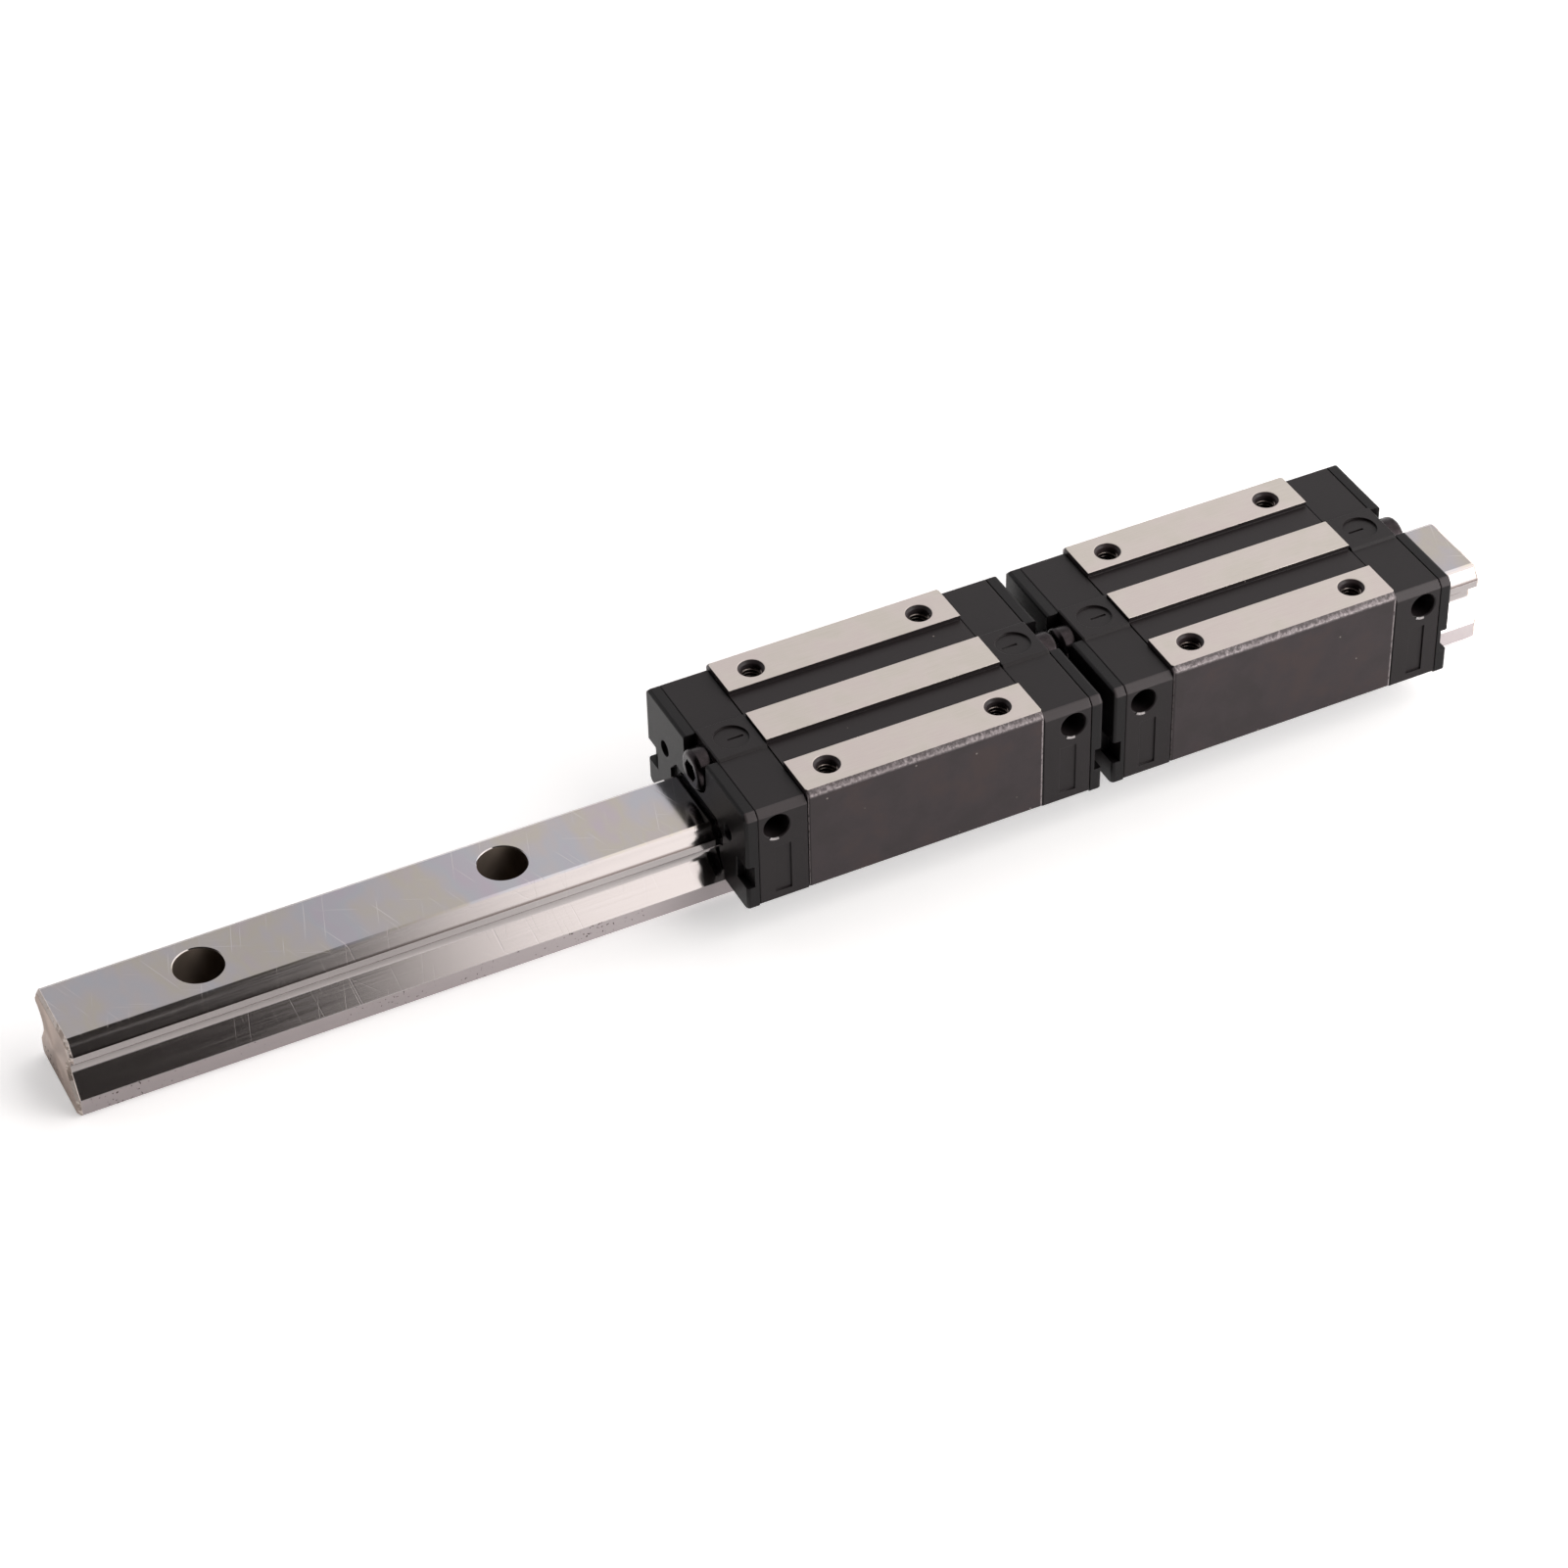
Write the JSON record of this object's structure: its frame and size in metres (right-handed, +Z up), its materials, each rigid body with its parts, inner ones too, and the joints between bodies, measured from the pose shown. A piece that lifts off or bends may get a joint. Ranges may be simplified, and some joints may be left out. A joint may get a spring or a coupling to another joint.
{
  "type": "profile linear guide rail with two sliding carriages",
  "caption": "Ground steel profile rail with counterbored bolt holes and square bearing carriages that slide along it, for straight guided motion.",
  "frame": {"origin": "under the middle of the rail, on its underside", "axes": "+X along the rail, +Y across it, +Z up out of the carriages' mounting faces"},
  "size_m": [0.297, 0.044, 0.03],
  "materials": {
    "rail_steel": "ground and polished bearing steel",
    "block_steel": "dark oxide steel with three ground lands on top",
    "ball_steel": "polished bearing balls",
    "cap_plastic": "moulded black engineering plastic",
    "seal_plastic": "black seal plate",
    "plug_steel": "black oxide steel plug",
    "screw_steel": "black oxide steel screw"
  },
  "bodies": {
    "rail": {"rail": "rail_steel"},
    "left_carriage": {"left_block": "block_steel", "left_balls_upper_front": "ball_steel", "left_balls_upper_back": "ball_steel", "left_balls_lower_front": "ball_steel", "left_balls_lower_back": "ball_steel", "left_cap_a": "cap_plastic", "left_seal_a": "seal_plastic", "left_plug_a": "plug_steel", "left_screw_a_front": "screw_steel", "left_screw_a_back": "screw_steel", "left_cap_b": "cap_plastic", "left_seal_b": "seal_plastic", "left_plug_b": "plug_steel", "left_screw_b_front": "screw_steel", "left_screw_b_back": "screw_steel"},
    "right_carriage": {"right_block": "block_steel", "right_balls_upper_front": "ball_steel", "right_balls_upper_back": "ball_steel", "right_balls_lower_front": "ball_steel", "right_balls_lower_back": "ball_steel", "right_cap_a": "cap_plastic", "right_seal_a": "seal_plastic", "right_plug_a": "plug_steel", "right_screw_a_front": "screw_steel", "right_screw_a_back": "screw_steel", "right_cap_b": "cap_plastic", "right_seal_b": "seal_plastic", "right_plug_b": "plug_steel", "right_screw_b_front": "screw_steel", "right_screw_b_back": "screw_steel"}
  },
  "joints": [
    {"name": "left_slide", "type": "slide", "parent": "rail", "child": "left_carriage", "axis": [1, 0, 0], "range_m": [-0.127, 0]},
    {"name": "right_slide", "type": "slide", "parent": "rail", "child": "right_carriage", "axis": [1, 0, 0], "range_m": [0, 0.014]}
  ]
}
